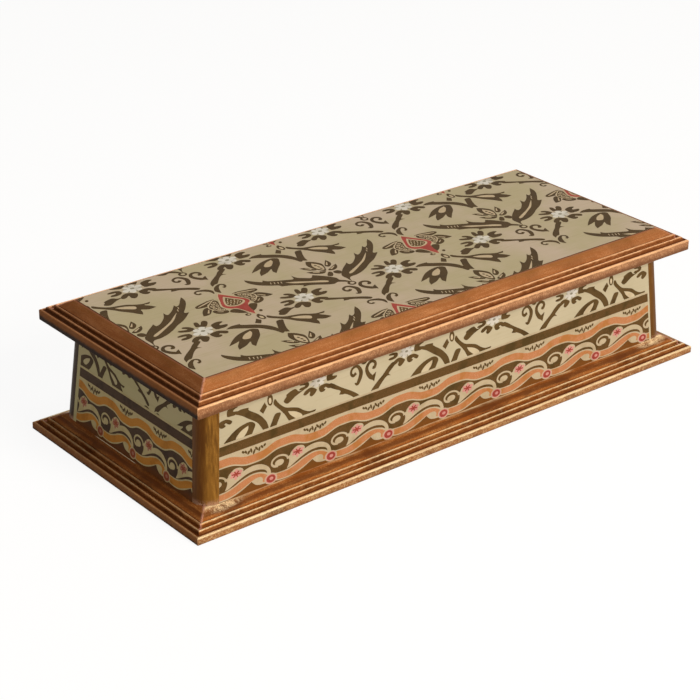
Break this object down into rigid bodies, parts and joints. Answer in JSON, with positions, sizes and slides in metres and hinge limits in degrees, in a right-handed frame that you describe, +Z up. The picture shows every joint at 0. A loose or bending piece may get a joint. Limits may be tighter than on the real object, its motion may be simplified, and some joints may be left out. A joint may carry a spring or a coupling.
{
  "type": "lidded decorative wooden box",
  "caption": "Long low wooden box with a hinged lid, leaning decorated sides, rounded corner beads and reeded gilt mouldings round the lid and foot.",
  "frame": {"origin": "centre of the underside, on the surface that the box stands on", "axes": "+X along the long side to the right, +Y to the back where the hinges are, +Z up"},
  "size_m": [0.3, 0.13, 0.0662],
  "materials": {
    "gilt_paint": "copper-bronze gilt paint over moulded softwood, half gloss",
    "top_sheet": "decorated veneer sheet, khaki ground with brown flowers, satin lacquer",
    "side_sheet": "decorated veneer sheet, cream ground with a wave border, satin lacquer",
    "bare_wood": "bare sanded softwood",
    "velvet": "dark red velvet on card",
    "green_felt": "green felt",
    "brass": "plain stamped brass"
  },
  "bodies": {
    "body": {"plinth_front": "gilt_paint", "plinth_right": "gilt_paint", "plinth_back": "gilt_paint", "plinth_left": "gilt_paint", "wall_front": "bare_wood", "wall_right": "bare_wood", "wall_back": "bare_wood", "wall_left": "bare_wood", "sheet_front": "side_sheet", "sheet_right": "side_sheet", "sheet_back": "side_sheet", "sheet_left": "side_sheet", "post_front_left": "gilt_paint", "post_front_right": "gilt_paint", "post_back_right": "gilt_paint", "post_back_left": "gilt_paint", "bottom_board": "bare_wood", "felt_pad": "green_felt", "lining_floor": "velvet", "lining_front": "velvet", "lining_right": "velvet", "lining_back": "velvet", "lining_left": "velvet", "hinge_left_wall_leaf": "brass", "hinge_left_pin": "brass", "hinge_right_wall_leaf": "brass", "hinge_right_pin": "brass", "wall_screws": "brass"},
    "lid": {"lid_rail_front": "gilt_paint", "lid_rail_right": "gilt_paint", "lid_rail_back": "gilt_paint", "lid_rail_left": "gilt_paint", "lid_board": "bare_wood", "lid_sheet_top": "top_sheet", "lid_lining": "velvet", "hinge_left_lid_leaf": "brass", "hinge_right_lid_leaf": "brass", "lid_screws": "brass"}
  },
  "joints": [
    {"name": "lid_hinge", "type": "hinge", "parent": "body", "child": "lid", "pos_m": [0, 0.05292, 0.05315], "axis": [-1, 0, 0], "range_deg": [0, 100]}
  ]
}
